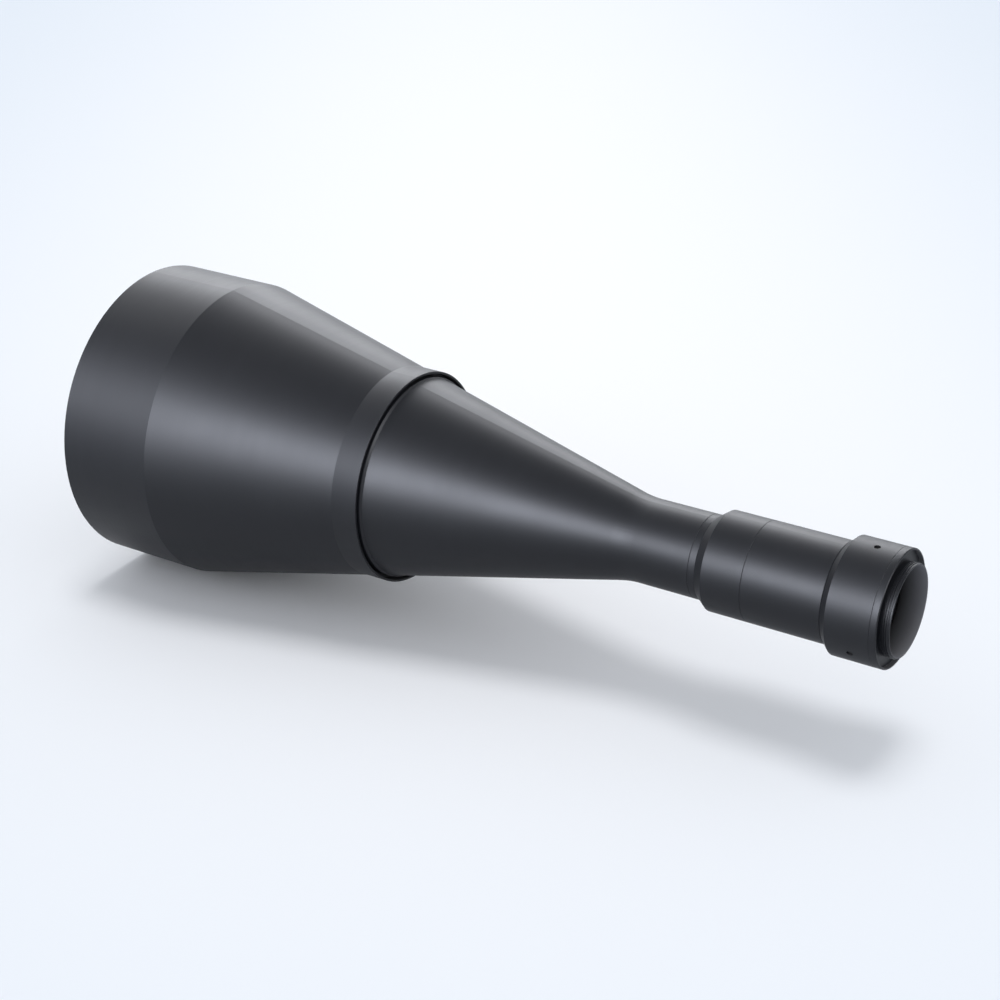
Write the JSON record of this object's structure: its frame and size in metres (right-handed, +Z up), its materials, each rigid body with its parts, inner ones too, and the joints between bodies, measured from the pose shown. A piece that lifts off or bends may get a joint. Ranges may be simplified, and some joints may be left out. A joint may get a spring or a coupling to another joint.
{
  "type": "telecentric lens",
  "caption": "Large telecentric machine vision lens: wide front barrel, long cone screwed together from two pieces, narrow neck, and rear barrel with a turning threaded camera mount.",
  "frame": {"origin": "centre of the front rim, on the optical axis", "axes": "+X along the optical axis from the object side to the camera side, +Z up, +Y completes the right-handed frame"},
  "size_m": [0.4039, 0.146, 0.146],
  "materials": {
    "black_anodised_aluminium": "satin black anodised, fine turned grain",
    "blackened_sheet": "matt black",
    "coated_glass": "polished, antireflection coated",
    "black_steel": "black oxide"
  },
  "bodies": {
    "lens": {"front_housing": "black_anodised_aluminium", "front_retaining_ring": "black_anodised_aluminium", "front_lens_spacer": "black_anodised_aluminium", "rear_cone": "black_anodised_aluminium", "stop_housing": "black_anodised_aluminium", "rear_barrel": "black_anodised_aluminium", "rear_spacer_front": "black_anodised_aluminium", "rear_spacer_back": "black_anodised_aluminium", "rear_retaining_ring": "black_anodised_aluminium", "stop_retaining_ring": "black_anodised_aluminium", "cone_baffle": "blackened_sheet", "aperture_stop": "blackened_sheet", "front_lens": "coated_glass", "second_lens": "coated_glass", "rear_lens_a": "coated_glass", "rear_lens_b": "coated_glass", "rear_lens_c": "coated_glass", "rear_lens_d": "coated_glass", "rear_lens_e": "coated_glass"},
    "camera_mount": {"camera_mount_ring": "black_anodised_aluminium", "mount_set_screws": "black_steel", "camera_flange": "black_anodised_aluminium"}
  },
  "joints": [
    {"name": "camera_mount_turn", "type": "hinge", "parent": "lens", "child": "camera_mount", "pos_m": [0.388, 0, 0], "axis": [1, 0, 0], "continuous": true}
  ]
}
